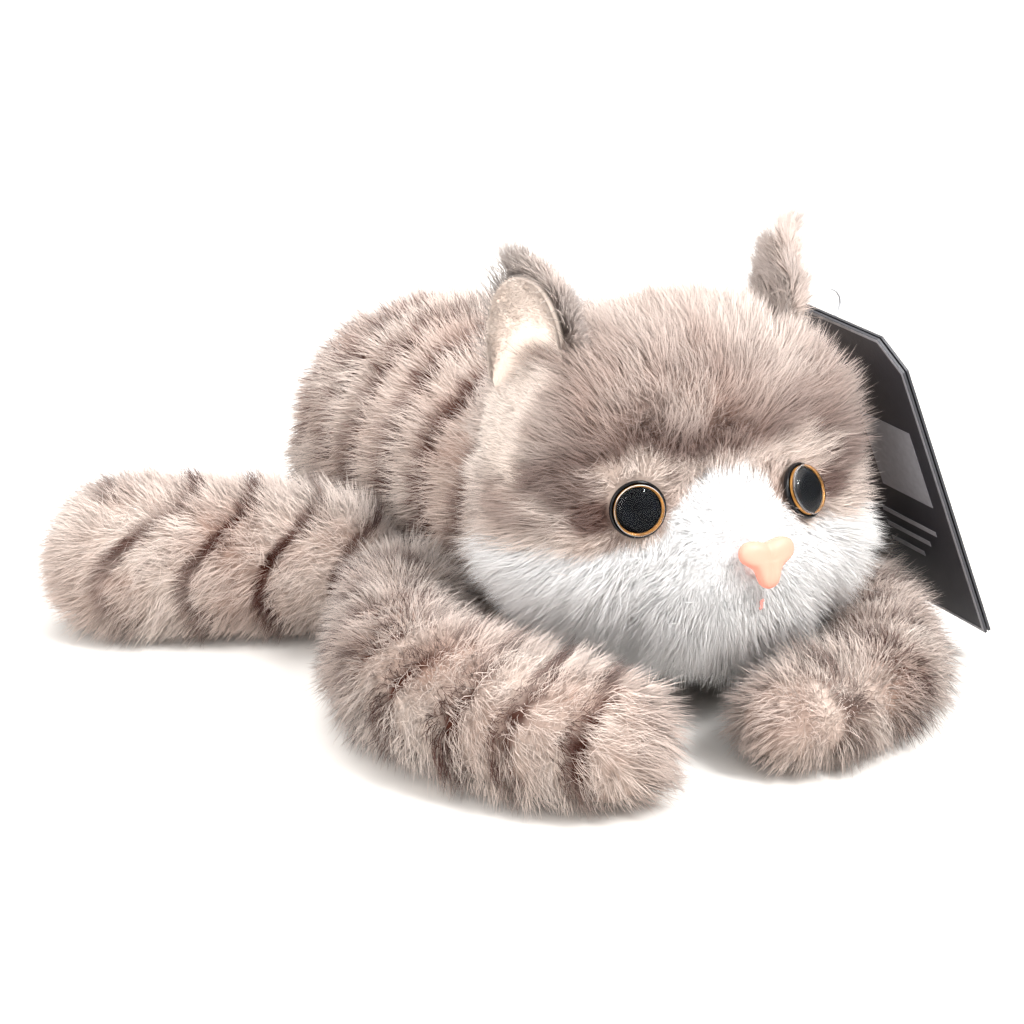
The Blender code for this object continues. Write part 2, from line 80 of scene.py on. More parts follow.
TORSO = dict(stations=[(0, 20, 26, 24), (0, 45, 34, 31), (-2, 70, 39.5, 38), (-5, 92, 41, 40.5),
                       (-9, 114, 42, 42), (-13, 138, 38, 38), (-14, 160, 31, 30)],
             cap=26, dish=NECK_DISH, drop=3.0)
LEGS = {
    "fore_right": dict(stations=[(-50, 54, 18, 18), (-70, 20, 18.5, 19), (-77, -14, 19, 20),
                                 (-63, -46, 19, 19), (-40, -70, 17, 17)], cap=17),
    "fore_left": dict(stations=[(51, 55, 18, 18), (58, 22, 18.5, 18), (53, -13, 17.5, 14.2),
                                (35, -47, 17, 13.5), (-12, -65, 16, 14)], cap=16),
    "hind_right": dict(stations=[(-47, 71, 19, 18.5), (-72, 84, 21.5, 21), (-101, 99, 22.5, 22.5),
                                 (-132, 116, 21.5, 21.5)], cap=17),
    "hind_left": dict(stations=[(47, 73, 19, 18.5), (70, 90, 21.5, 21), (93, 110, 22.5, 22),
                                (117.5, 133, 21.5, 21)], cap=17),
}
TAIL = dict(stations=[(6, 160, 10.5, 10.5), (19, 174, 10.5, 10.5), (46, 181.3, 10, 10), (80, 178, 9, 9)],
            cap=9, drop=1.0)


# ---- small numeric helpers ----

def srgb(r, g, b):
    c = np.array([r, g, b], float) / 255.0
    return np.where(c <= 0.04045, c / 12.92, ((c + 0.055) / 1.055) ** 2.4)


def unit(v):
    return v / np.maximum(np.linalg.norm(v, axis=-1, keepdims=True), 1e-9)


def smooth(x, low, high):
    t = np.clip((x - low) / (high - low), 0, 1)
    return t * t * (3 - 2 * t)


def hashed(cells, seed):
    """Repeatable 0..1 number for each integer cell."""
    c = cells.astype(np.int64)
    h = (c[..., 0] * 73856093) ^ (c[..., 1] * 19349663) ^ (c[..., 2] * 83492791) ^ (seed * 2654435761)
    h = (h ^ (h >> 13)) * 1274126177
    h = (h ^ (h >> 16)) & 0xFFFFFF
    return h / float(0xFFFFFF)


def noise(p, size, seed=0):
    """Smooth value noise, -1..1, with features about `size` millimetres across."""
    q = p / size
    base = np.floor(q)
    f = q - base
    f = f * f * (3 - 2 * f)
    total = 0
    for dx in (0, 1):
        for dy in (0, 1):
            for dz in (0, 1):
                corner = hashed(base + np.array([dx, dy, dz]), seed)
                wx = f[..., 0] if dx else 1 - f[..., 0]
                wy = f[..., 1] if dy else 1 - f[..., 1]
                wz = f[..., 2] if dz else 1 - f[..., 2]
                total = total + corner * wx * wy * wz
    return total * 2 - 1


# ---- surfaces as grids of points ----

def curve_at(stations, t):
    """Smooth curve through the stations; t is an array from 0 to 1."""
    pts = np.array(stations, float)
    n = len(pts) - 1
    i = np.minimum((t * n).astype(int), n - 1)
    f = (t * n - i)[:, None]
    p0 = pts[np.maximum(i - 1, 0)]
    p1 = pts[i]
    p2 = pts[i + 1]
    p3 = pts[np.minimum(i + 2, n)]
    return 0.5 * (2 * p1 + (p2 - p0) * f + (2 * p0 - 5 * p1 + 4 * p2 - p3) * f ** 2
                  + (3 * p1 - p0 - 3 * p2 + p3) * f ** 3)


def spindle(shape, offset, along=72, around=64):
    """Grid of points on a round-ended soft body, with each row's distance along it."""
    stations, cap, drop = shape["stations"], shape["cap"], shape.get("drop", 2.0)
    walk = curve_at(stations, np.linspace(0, 1, 200))[:, :2]
    total = np.linalg.norm(np.diff(walk, axis=0), axis=1).sum()
    cap_t = cap / total
    angles = np.linspace(0, np.pi / 2, 13)[:-1]
    t = np.concatenate([cap_t * (1 - np.cos(angles)), np.linspace(cap_t, 1 - cap_t, along - 24),
                        1 - cap_t * (1 - np.cos(angles[::-1]))])
    grow = np.concatenate([np.sin(angles), np.ones(along - 24), np.sin(angles[::-1])])
    inset = offset / total
    t = inset + (1 - 2 * inset) * t
    here = curve_at(stations, t)
    ahead = unit((curve_at(stations, np.minimum(t + 0.01, 1)) - curve_at(stations, np.maximum(t - 0.01, 0)))[:, :2])
    side = np.stack([ahead[:, 1], -ahead[:, 0]], 1)
    a = np.linspace(0, 2 * np.pi, around, endpoint=False)
    wide = (here[:, 2] - offset) * grow
    tall = (here[:, 3] - offset) * grow
    grid = np.zeros((len(t), around, 3))
    grid[..., :2] = here[:, None, :2] + side[:, None, :] * (wide[:, None] * np.cos(a))[..., None]
    grid[..., 2] = np.maximum((here[:, 3] - drop)[:, None] + tall[:, None] * np.sin(a), offset)
    if "dish" in shape:
        radius, half = shape["dish"][0] + offset, shape["dish"][1] + offset
        room = 1 - (grid[..., 0] / radius) ** 2 - ((grid[..., 2] - HEAD_C[2]) / half) ** 2
        grid[..., 1] = np.where(room > 0, np.maximum(grid[..., 1], radius * np.sqrt(np.maximum(room, 0))),
                                grid[..., 1])
    return grid, t * total


def head_reach(d):
    d = unit(np.asarray(d, float))
    depth = np.where(d[..., 1] < 0, HEAD_FRONT, HEAD_BACK)
    main = (np.abs(d[..., 0] / HEAD_SIDE) ** HEAD_SQUARE + np.abs(d[..., 1] / depth) ** HEAD_SQUARE
            + np.abs(d[..., 2] / HEAD_TALL) ** HEAD_SQUARE) ** (-1 / HEAD_SQUARE)
    total = main ** 14
    for centre, radii in LUMPS:
        c, r = np.array(centre, float), np.array(radii, float)
        qa = ((d / r) ** 2).sum(-1)
        qb = (-2 * d * c / r ** 2).sum(-1)
        qc = ((c / r) ** 2).sum() - 1
        disc = qb * qb - 4 * qa * qc
        far = np.where(disc > 0, (-qb + np.sqrt(np.maximum(disc, 0))) / (2 * qa), 0)
        total = total + np.maximum(far, 0) ** 14
    return total ** (1 / 14)


def head_point(d, offset=0.0):
    d = unit(np.asarray(d, float))
    return HEAD_C + d * (head_reach(d) - offset)[..., None]


def head_normal(d):
    d = unit(np.asarray(d, float))
    u = unit(np.cross(d, [0.1, 0.2, 1.0])) * 0.03
    v = np.cross(d, u)
    n = unit(np.cross(head_point(d + u) - head_point(d - u), head_point(d + v) - head_point(d - v)))
    return n if n @ d > 0 else -n


def head_grid(offset, down=110, around=150):
    lat = np.linspace(0, np.pi, down)[:, None]
    lon = np.linspace(0, 2 * np.pi, around, endpoint=False)[None]
    d = np.stack([np.sin(lat) * np.cos(lon), np.sin(lat) * np.sin(lon), np.cos(lat) * np.ones_like(lon)], -1)
    return head_point(d, offset)


def grid_normals(grid):
    """Outward normals of a grid that wraps round in its second direction."""
    du = np.gradient(grid, axis=0)
    dv = np.roll(grid, -1, 1) - np.roll(grid, 1, 1)
    n = unit(np.cross(du, dv))
    middle = grid.mean(axis=(0, 1))
    rows = grid.mean(axis=1, keepdims=True)
    flip = np.sign(((grid - 0.5 * (rows + middle)) * n).sum(-1, keepdims=True).mean())
    n = n * flip
    n[0] = n[1].mean(0)
    n[-1] = n[-2].mean(0)
    return unit(n)


# ---- meshes ----

def to_part(points):
    return (np.asarray(points, float) + SHIFT) * MM


def new_mesh(name, verts, faces, mats, smooth_faces=True):
    mesh = bpy.data.meshes.new(name)
    mesh.from_pydata([tuple(v) for v in verts], [], [tuple(f) for f in faces])
    mesh.polygons.foreach_set("use_smooth", [smooth_faces] * len(mesh.polygons))
    ob = bpy.data.objects.new(name, mesh)
    for m in mats:
        mesh.materials.append(m)
    bpy.context.scene.collection.objects.link(ob)
    return ob


def sheet_faces(rows, cols):
    """Faces of a closed sheet: one grid of points, a second grid after it, and the edge between them."""
    off = rows * cols
    faces = []
    for i in range(rows - 1):
        for j in range(cols - 1):
            q = (i * cols + j, i * cols + j + 1, (i + 1) * cols + j + 1, (i + 1) * cols + j)
            faces.append(q)
            faces.append(tuple(off + v for v in reversed(q)))
    border = list(range(cols)) + [i * cols + cols - 1 for i in range(1, rows)]
    border += [(rows - 1) * cols + j for j in range(cols - 2, -1, -1)]
    border += [i * cols for i in range(rows - 2, 0, -1)]
    for p, q in zip(border, border[1:] + border[:1]):
        faces.append((q, p, off + p, off + q))
    return faces


def paint(mesh, colours):
    layer = mesh.color_attributes.new("tint", "FLOAT_COLOR", "POINT")
    rgba = np.ones((len(colours), 4), np.float32)
    rgba[:, :3] = colours
    layer.data.foreach_set("color", rgba.ravel())


def skin_object(name, grid, colours, mat):
    rows, cols = grid.shape[:2]
    verts = [grid[0].mean(0)] + list(grid[1:-1].reshape(-1, 3)) + [grid[-1].mean(0)]
    tint = [colours[0].mean(0)] + list(colours[1:-1].reshape(-1, 3)) + [colours[-1].mean(0)]
    last = len(verts) - 1
    faces = []
    for j in range(cols):
        k = (j + 1) % cols
        faces.append((0, 1 + k, 1 + j))
        faces.append((last, last - cols + j, last - cols + k))
        for i in range(rows - 3):
            a = 1 + i * cols
            faces.append((a + j, a + k, a + cols + k, a + cols + j))
    ob = new_mesh(name, to_part(np.array(verts)), faces, [mat])
    paint(ob.data, np.array(tint))
    bpy.context.view_layer.objects.active = ob
    ob.select_set(True)
    bpy.ops.object.mode_set(mode="EDIT")
    bpy.ops.mesh.select_all(action="SELECT")
    bpy.ops.mesh.normals_make_consistent(inside=False)
    bpy.ops.object.mode_set(mode="OBJECT")
    ob.select_set(False)
    return ob


def sample(grid, normals, extra, count, density=None):
    """Random points spread evenly over a grid, with their normals and extra row values."""
    rows, cols = grid.shape[:2]
    nxt = np.roll(grid, -1, 1)
    area = (np.linalg.norm(np.cross(grid[1:] - grid[:-1], nxt[:-1] - grid[:-1]), axis=-1)
            + np.linalg.norm(np.cross(grid[1:] - nxt[1:], nxt[:-1] - nxt[1:]), axis=-1))
    if density is not None:
        area = area * density[:-1]
    weight = area.ravel() / area.sum()
    pick = RNG.choice(len(weight), size=count, p=weight)
    i, j = pick // cols, pick % cols
    k = (j + 1) % cols
    u, v = RNG.random(count)[:, None], RNG.random(count)[:, None]

    def mixed(values):
        return ((values[i, j] * (1 - v) + values[i, k] * v) * (1 - u)
                + (values[i + 1, j] * (1 - v) + values[i + 1, k] * v) * u)
    return mixed(grid), unit(mixed(normals)), [mixed(e) for e in extra]


def pile(name, roots, normals, comb, length, coat, mat, width=0.17, lean=(0.3, 0.85), spread=0.34,
         floor=0.5, avoid=None):
    """Tapered hairs as thin ribbons. coat(points, shift) gives colour, tip lightness and root darkness a hair; the
    root darkness is painted shade for the shade among the hairs.
    """
    n = len(roots)
    jitter = np.stack([noise(roots, 4.2, s) for s in (41, 42, 43)], -1) * 0.55
    own = RNG.normal(size=(n, 3)) * spread * (0.6 + 1.1 * (RNG.random((n, 1)) > 0.88))
    comb = unit(comb - normals * (comb * normals).sum(-1, keepdims=True))
    sway = jitter + own
    first = unit(normals + comb * lean[0] + sway * 0.8)
    last = unit(normals * 0.8 + comb * lean[1] + sway * 1.2 + np.array([0, 0, -0.12]))
    middle = unit(first + last)
    step = (length * (0.62 + 0.55 * RNG.random(n)) / 2)[:, None]
    bend = roots + unit(first + middle) * step
    p = np.stack([roots, bend, bend + unit(middle + last) * step], 1)
    if avoid is not None:
        p = avoid(p)
    p[:, :, 2] = np.maximum(p[:, :, 2], floor + 0.5 * RNG.random((n, 1)))
    shift = (p[:, 2] - roots) * 0.7
    shift = shift - normals * (shift * normals).sum(-1, keepdims=True)
    colour, tip_mix, painted_root_shade = coat(roots + shift, shift)
    facing = unit(normals + RNG.normal(size=(n, 3)) * 0.6)
    wide = unit(np.cross(middle, facing)) * (width * (0.7 + 0.6 * RNG.random((n, 1))))
    out = unit(np.cross(wide, middle))
    verts = np.empty((n, 10, 3))
    for side, lift in ((0, 0.0), (5, -0.02)):
        for k, w in ((0, 0.8), (1, 0.8)):
            verts[:, side + 2 * k] = p[:, k] - wide * (w * 0.5) + out * lift
            verts[:, side + 2 * k + 1] = p[:, k] + wide * (w * 0.5) + out * lift
        verts[:, side + 4] = p[:, 2] + out * lift
    verts = to_part(verts)
    base = np.arange(n, dtype=np.int32)[:, None] * 10
    loops = np.concatenate([base + [0, 1, 3, 2], base + [2, 3, 4], base + [5, 7, 8, 6], base + [7, 9, 8]], 1)
    loops = loops.ravel()
    starts = (np.arange(n)[:, None] * 14 + [0, 4, 7, 11]).ravel()
    mesh = bpy.data.meshes.new(name)
    mesh.vertices.add(n * 10)
    mesh.vertices.foreach_set("co", verts.astype(np.float32).ravel())
    mesh.loops.add(n * 14)
    mesh.loops.foreach_set("vertex_index", loops.astype(np.int32))
    mesh.polygons.add(n * 4)
    mesh.polygons.foreach_set("loop_start", starts.astype(np.int32))
    mesh.polygons.foreach_set("use_smooth", np.ones(n * 4, bool))
    mesh.update(calc_edges=True)
    shade = 1 + (0.3 * RNG.random((n, 1)) - 0.15) * (1 - painted_root_shade[:, None]) / 0.4
    tint = np.empty((n, 10, 3), np.float32)
    heights = np.array([0.0, 0.0, 0.5, 0.5, 1.0] * 2)
    # Each hair is painted darker at its root, rising to its full colour along its length: painted shade for the
    # shade deep among the hairs.
    for k, f in enumerate(heights):
        mix = (tip_mix * f ** 1.3)[:, None]
        rise = painted_root_shade[:, None] + (1 - painted_root_shade[:, None]) * min(1.0, f * 1.6)
        tint[:, k] = np.clip(colour * shade * rise, 0, 1) * (1 - mix) + TIP * mix
    paint(mesh, tint.reshape(-1, 3))
    uv = mesh.uv_layers.new(name="OFBake")
    spot = roots - roots.min(0)
    span = max(spot.max(), 1.0) * 1.02
    slant = 0.31
    flat = (spot[:, :2] + slant * spot[:, 2:]) / ((1 + slant) * span)
    across = np.array([-0.5, 0.5, -0.5, 0.5, 0.0] * 2)
    texel = 1.5 / 1024
    per_vert = np.empty((n, 10, 2))
    per_vert[..., 0] = flat[:, None, 0] + across * texel
    per_vert[..., 1] = flat[:, None, 1] + heights * texel * 3
    uv.data.foreach_set("uv", np.clip(per_vert.reshape(-1, 2)[loops], 0, 1).astype(np.float32).ravel())
    soft = unit(normals * 0.8 + own * 0.4)
    mesh.normals_split_custom_set_from_vertices(np.repeat(soft, 10, axis=0).astype(np.float32))
    ob = bpy.data.objects.new(name, mesh)
    mesh.materials.append(mat)
    bpy.context.scene.collection.objects.link(ob)
    return ob


# ---- materials ----

def material(name, rough, colour=None, attribute=False, noise_scale=0.0, noise_amount=0.0, bump=0.0,
             bump_scale=900.0, **shader_values):
    mat = bpy.data.materials.new(name)
    mat.use_nodes = True
    nt = mat.node_tree
    shader = nt.nodes["Principled BSDF"]
    shader.inputs["Roughness"].default_value = rough
    for key, value in shader_values.items():
        shader.inputs[key.replace("_", " ")].default_value = value
    if attribute:
        source = nt.nodes.new("ShaderNodeAttribute")
        source.attribute_name = "tint"
        out = source.outputs["Color"]
    else:
        shader.inputs["Base Color"].default_value = (*colour, 1)
        source = nt.nodes.new("ShaderNodeRGB")
        source.outputs[0].default_value = (*colour, 1)
        out = source.outputs[0]
    if noise_amount:
        texco = nt.nodes.new("ShaderNodeTexCoord")
        tex = nt.nodes.new("ShaderNodeTexNoise")
        tex.inputs["Scale"].default_value = noise_scale
        tex.inputs["Detail"].default_value = 4
        nt.links.new(texco.outputs["Object"], tex.inputs["Vector"])
        ramp = nt.nodes.new("ShaderNodeMapRange")
        ramp.inputs["From Min"].default_value = 0.3
        ramp.inputs["From Max"].default_value = 0.7
        ramp.inputs["To Min"].default_value = 1 - noise_amount
        ramp.inputs["To Max"].default_value = 1 + noise_amount
        nt.links.new(tex.outputs["Fac"], ramp.inputs["Value"])
        scale = nt.nodes.new("ShaderNodeVectorMath")
        scale.operation = "SCALE"
        nt.links.new(out, scale.inputs[0])
        nt.links.new(ramp.outputs["Result"], scale.inputs["Scale"])
        out = scale.outputs["Vector"]
    if attribute or noise_amount:
        nt.links.new(out, shader.inputs["Base Color"])
    if bump:
        texco = nt.nodes.new("ShaderNodeTexCoord")
        tex = nt.nodes.new("ShaderNodeTexNoise")
        tex.inputs["Scale"].default_value = bump_scale
        tex.inputs["Detail"].default_value = 5
        nt.links.new(texco.outputs["Object"], tex.inputs["Vector"])
        node = nt.nodes.new("ShaderNodeBump")
        node.inputs["Strength"].default_value = bump
        node.inputs["Distance"].default_value = 0.0004
        nt.links.new(tex.outputs["Fac"], node.inputs["Height"])
        nt.links.new(node.outputs["Normal"], shader.inputs["Normal"])
    return mat


M_PILE = material("pile", 0.75, attribute=True, Specular_IOR_Level=0.22, Sheen_Weight=0.12)
M_SKIN = material("backing_cloth", 0.95, attribute=True, noise_scale=900, noise_amount=0.12, bump=0.5,
                  Specular_IOR_Level=0.1)
M_VELOUR = material("velour", 0.9, attribute=True, noise_scale=700, noise_amount=0.06, bump=0.5, bump_scale=2200,
                    Specular_IOR_Level=0.15, Sheen_Weight=0.3)
M_NOSE = material("nose_rubber", 0.5, colour=srgb(243, 152, 132), noise_scale=160, noise_amount=0.03, bump=0.1,
                  bump_scale=500)
M_THREAD = material("pink_thread", 0.8, colour=srgb(222, 150, 140), noise_scale=1500, noise_amount=0.15, bump=0.5,
                    bump_scale=2500)
M_BLACK = material("eye_black", 0.12, colour=(0.003, 0.003, 0.004), noise_scale=90, noise_amount=0.1,
                   Specular_IOR_Level=0.3)
M_PUPIL = material("eye_iris", 0.5, colour=(0.003, 0.004, 0.006), noise_scale=300, noise_amount=0.3,
                   Specular_IOR_Level=0.02)
M_GOLD = material("eye_gold", 0.3, colour=srgb(170, 118, 56), noise_scale=400, noise_amount=0.25, Metallic=0.6)
M_CLEAR = material("eye_clear", 0.03, colour=(0.95, 0.95, 0.95), noise_scale=30, noise_amount=0.01,
                   Transmission_Weight=1.0, IOR=1.17)
M_FIBRE = material("fibre_fill", 1.0, colour=srgb(240, 240, 236), noise_scale=250, noise_amount=0.08, bump=0.8,
                   bump_scale=400)
M_BAG = material("bean_bag_cloth", 0.9, colour=srgb(222, 216, 205), noise_scale=350, noise_amount=0.1, bump=0.8,
                 bump_scale=300)
M_WASHER = material("washer_plastic", 0.5, colour=srgb(232, 232, 228), noise_scale=200, noise_amount=0.03, bump=0.1)
M_CARD = material("tag_black_card", 0.42, colour=srgb(40, 40, 46), noise_scale=350, noise_amount=0.12, bump=0.12,
                  bump_scale=1500)
M_FOIL = material("tag_grey_print", 0.35, colour=srgb(150, 150, 156), noise_scale=500, noise_amount=0.12)
M_LOOP = material("tag_loop_plastic", 0.25, colour=srgb(225, 228, 232), noise_scale=200, noise_amount=0.03)
M_LABEL = material("label_satin", 0.45, colour=srgb(244, 244, 244), noise_scale=900, noise_amount=0.04, bump=0.3,
                   bump_scale=3000)
M_GUSSET = material("gusset_cloth", 0.95, colour=srgb(190, 160, 146), noise_scale=600, noise_amount=0.15, bump=0.6,
                    bump_scale=1400, Specular_IOR_Level=0.1)
M_FLOOR = material("pale_floor", 0.85, colour=srgb(224, 221, 217), noise_scale=6, noise_amount=0.012)

# ---- coat colours ----
LIGHT = srgb(238, 220, 208)
TAUPE = srgb(188, 156, 140)
DARK = srgb(82, 46, 36)
CREAM = srgb(250, 232, 219)
WHITE = srgb(255, 255, 255)
TIP = srgb(250, 243, 238)                    # frosted ends of the hairs
TORSO_GAP, TORSO_BAR, LIMB_BAR = 15.0, 2.9, 2.6


def blend_colour(a, b, w):
    return a * (1 - w[..., None]) + b * w[..., None]


def bars(value, gap, width, seed_points, wobble=3.0):
    """Soft dark bars across a limb: 1 on a bar, 0 between."""
    v = value + noise(seed_points, 22, 5) * wobble + noise(seed_points, 8, 6) * 1.0
    d = np.abs((v / gap) % 1.0 - 0.5) * gap
    strength = 0.9 + 0.35 * noise(seed_points, 18, 9)
    return np.clip(1 - smooth(d, width * 0.5, width), 0, 1) * np.clip(strength, 0.4, 1)


def ground_coat(p):
    mottled = noise(p, 16, 1) * 0.5 + noise(p, 5, 2) * 0.25
    return blend_colour(TAUPE, LIGHT, np.clip(0.55 + mottled, 0, 1))


def limb_coat(p, s, end, seam, gap, bow, start):
    base = ground_coat(p)
    mark = bars(s + start + bow * ((p[..., 2] - seam) / seam) ** 2, gap, LIMB_BAR, p, 2.2)
    mark = mark * smooth(p[..., 2], 1.5, 8) * (1 - 0.8 * smooth(s, end - 15, end - 6))
    under = 1 - smooth(p[..., 2], 1.0, 5.0)
    return blend_colour(blend_colour(base, DARK, mark), CREAM, under * 0.6), mark


def torso_coat(p):
    base = ground_coat(p)
    side = np.abs(p[..., 0])
    mark = bars(p[..., 1] + 0.12 * side + 6, TORSO_GAP, TORSO_BAR, p, 3.0)
    mark = mark * smooth(p[..., 2], 6, 22)
    under = 1 - smooth(p[..., 2], 6.0, 14.0)
    return blend_colour(blend_colour(base, DARK, mark), CREAM, under * 0.8), mark


def side_patch(q):
    """Where the short cream cloth shows, below each ear."""
    return (smooth(np.abs(q[..., 0]), 35, 39) * smooth(q[..., 2], 0, 6) * smooth(q[..., 1], -9, -5)
            * (1 - smooth(q[..., 1], 20, 25)))


FACE_TURN = 0.09                             # the face looks slightly to the cat's right


def head_coat(p):
    """Colour of the head at points p, plus how much white and how much dark mark."""
    q = p - HEAD_C
    y, z = q[..., 1], q[..., 2]
    x = q[..., 0] + FACE_TURN * np.maximum(-y, 0)
    ax = np.abs(x)
    ragged = noise(p, 6, 21) * 1.6 + noise(p, 2.5, 22) * 1.0
    base = ground_coat(p)
    base = blend_colour(base, LIGHT, 0.45 * smooth(z, 0, 12) * (1 - smooth(z, 12, 18)) * (y < 0))
    band = np.interp(ax, [0, 12, 24, 36, 47, 60], [13, 14, 16, 10, 2, -3])
    rise = z - band + ragged
    mark = 0.85 * smooth(rise, -3.5, 3.0) * (1 - 0.42 * smooth(rise, 3, 17)) * (1 - 0.65 * smooth(rise, 18, 34))
    mark = mark * (1 - smooth(y, 4, 16)) * np.clip(0.95 + 0.5 * noise(p, 11, 23), 0.5, 1)
    for cx, cz, r, amount in ((35, -1, 5.5, 0.9), (41, 6, 7.5, 0.8), (30, -9, 3.5, 0.5), (46, -4, 5.0, 0.5),
                              (13, 9, 1.2, 0.5)):
        near = 1 - smooth(np.hypot(ax - cx, z - cz) + ragged * 0.8, r * 0.4, r * 1.3)
        mark = np.maximum(mark, near * amount * (y < 8))
    crown_bars = bars(y + 0.25 * ax - 4, 15, 3.0, p, 3.0) * smooth(y, 6, 16) * smooth(z, -22, -8)
    mark = np.maximum(mark, crown_bars * 0.8)
    colour = blend_colour(base, DARK, np.clip(mark, 0, 1))
    patch = side_patch(q)
    colour = blend_colour(colour, CREAM, patch * 0.95)
    edge = np.interp(ax, [0, 6, 10, 14, 18, 24, 32, 45, 60], [9, 8, 4, -1, -7, -10, -11, -12, -14])
    white = (1 - smooth(z - edge + ragged * 0.7, -1.6, 1.6)) * (1 - smooth(y, 6, 16))
    colour = blend_colour(colour, WHITE, white)
    return colour, white, np.clip(mark * (1 - white), 0, 1)


# ---- pieces ----

def place_matrix(origin, axis):
    turn = Vector([float(c) for c in axis]).to_track_quat("Z", "Y").to_matrix().to_4x4()
    return Matrix.Translation(Vector([float(c) for c in origin])) @ turn


def lathe(name, profile, mat, place, segments=64, ring=False):
    """Turned piece; profile points are (radius, height) in millimetres."""
    verts, rows = [], []
    for radius, height in profile:
        count = 1 if radius == 0 else segments
        rows.append([len(verts) + j for j in range(count)])
        for j in range(count):
            a = 2 * math.pi * j / segments
            verts.append(place @ Vector((radius * math.cos(a), radius * math.sin(a), height)))
    pairs = list(zip(rows, rows[1:])) + ([(rows[-1], rows[0])] if ring else [])
    faces = []
    for low, high in pairs:
        for j in range(segments):
            corners = []
            for v in (low[j % len(low)], low[(j + 1) % len(low)], high[(j + 1) % len(high)], high[j % len(high)]):
                if v not in corners:
                    corners.append(v)
            faces.append(corners)
    return new_mesh(name, to_part([tuple(v) for v in verts]), faces, [mat])


def finish_piece(ob, body, nodes=()):
    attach(ob, body)
    if nodes:
        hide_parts(*nodes)
    return ob


PILE_COUNT = 1.0
LEG_HAIRS, TORSO_HAIRS, TAIL_HAIRS, HEAD_HAIRS, EAR_HAIRS, NAP_HAIRS = 27000, 56000, 11000, 112000, 9000, 7000
BODY_PILE, TAIL_PILE, EAR_PILE, NAP_PILE = 10.0, 6.5, 6.5, 1.3
LEG_SEAM, TAIL_SEAM = 17.0, 10.0
# gap between bars, bow of each bar along the limb, start of the first bar
FORE_BARS, HIND_BARS, TAIL_BARS = (15.0, -8.0, 4.0), (20.0, 11.0, 9.0), (16.0, 3.0, 0.0)


def amount(n):
    return int(n * PILE_COUNT)


def make_limb(name, shape, body, nodes, hairs, coat, length):
    grid, s = spindle(shape, SKIN)
    normals = grid_normals(grid)
    s_grid = np.repeat(s[:, None], grid.shape[1], 1)[..., None]
    ahead = np.gradient(grid.mean(axis=1), axis=0)
    ahead_grid = np.repeat(unit(ahead)[:, None, :], grid.shape[1], 1)
    colour, _mark = coat(grid, s_grid[..., 0], s[-1])
    # The backing cloth is painted in the coat colour at 0.7: painted shade for where it lies under the pile.
    skin = skin_object("cloth_" + name, grid, colour * 0.7, M_SKIN)
    finish_piece(skin, body, nodes)
    density = 0.12 + 0.88 * smooth(grid[..., 2], 2.6, 5.0)
    roots, nrm, (along_s, ahead_s) = sample(grid, normals, [s_grid, ahead_grid], amount(hairs), density)
    hair_len = length * (0.9 + 0.3 * noise(roots, 9, 31)) * (0.45 + 0.55 * smooth(roots[:, 2], 2.5, 9))
    halves = {"top": nrm[:, 2] >= 0.0, "under": nrm[:, 2] < 0.0}
    for word, mask in halves.items():
        def tint(spot, shift, mask=mask):
            colour, mark = coat(spot, along_s[mask, 0] + (shift * ahead_s[mask]).sum(-1), s[-1])
            # The last value is the painted root shade: hairs start at 0.62 of their colour, a little darker on the
            # bars.
            return colour, 0.36 * (1 - 0.95 * mark), 0.62 - 0.08 * mark
        ob = pile(f"pile_{name}_{word}", roots[mask], nrm[mask], ahead_s[mask] + np.array([0, 0, -0.25]),
                  hair_len[mask], tint, M_PILE)
        finish_piece(ob, body)


for leg, shape in LEGS.items():
    fore = leg.startswith("fore")
    make_limb("leg_" + leg, shape, leg + "_leg", ["leg_top_" + leg, "leg_under_" + leg], LEG_HAIRS,
              lambda p, s, end, fore=fore: limb_coat(p, s, end, LEG_SEAM, *(FORE_BARS if fore else HIND_BARS)),
              BODY_PILE)
make_limb("torso", TORSO, "torso", ["back_panel_left", "back_panel_right", "belly_panel"], TORSO_HAIRS,
          lambda p, s, end: torso_coat(p), BODY_PILE)
make_limb("tail", TAIL, "tail", ["tail_top", "tail_under"], TAIL_HAIRS,
          lambda p, s, end: limb_coat(p, s, end, TAIL_SEAM, *TAIL_BARS), TAIL_PILE)


def eye_place(word):
    return head_point(EYE_DIRS[word]), head_normal(EYE_DIRS[word])


def part_from_face(p):
    """Keep hairs off the eyes and nose: push points sideways out of their discs."""
    spots = [(*eye_place("left"), 6.8), (*eye_place("right"), 6.8),
             (head_point(NOSE_DIR), head_normal(NOSE_DIR), 4.0)]
    for centre, axis, radius in spots:
        q = p - centre
        lift = (q * axis).sum(-1, keepdims=True)
        flat = q - axis * lift
        away = np.linalg.norm(flat, axis=-1, keepdims=True)
        inside = (away < radius) & (np.abs(lift) < 14)
        p = np.where(inside, p + flat / np.maximum(away, 1e-6) * (radius - away) * 0.92, p)
    return p


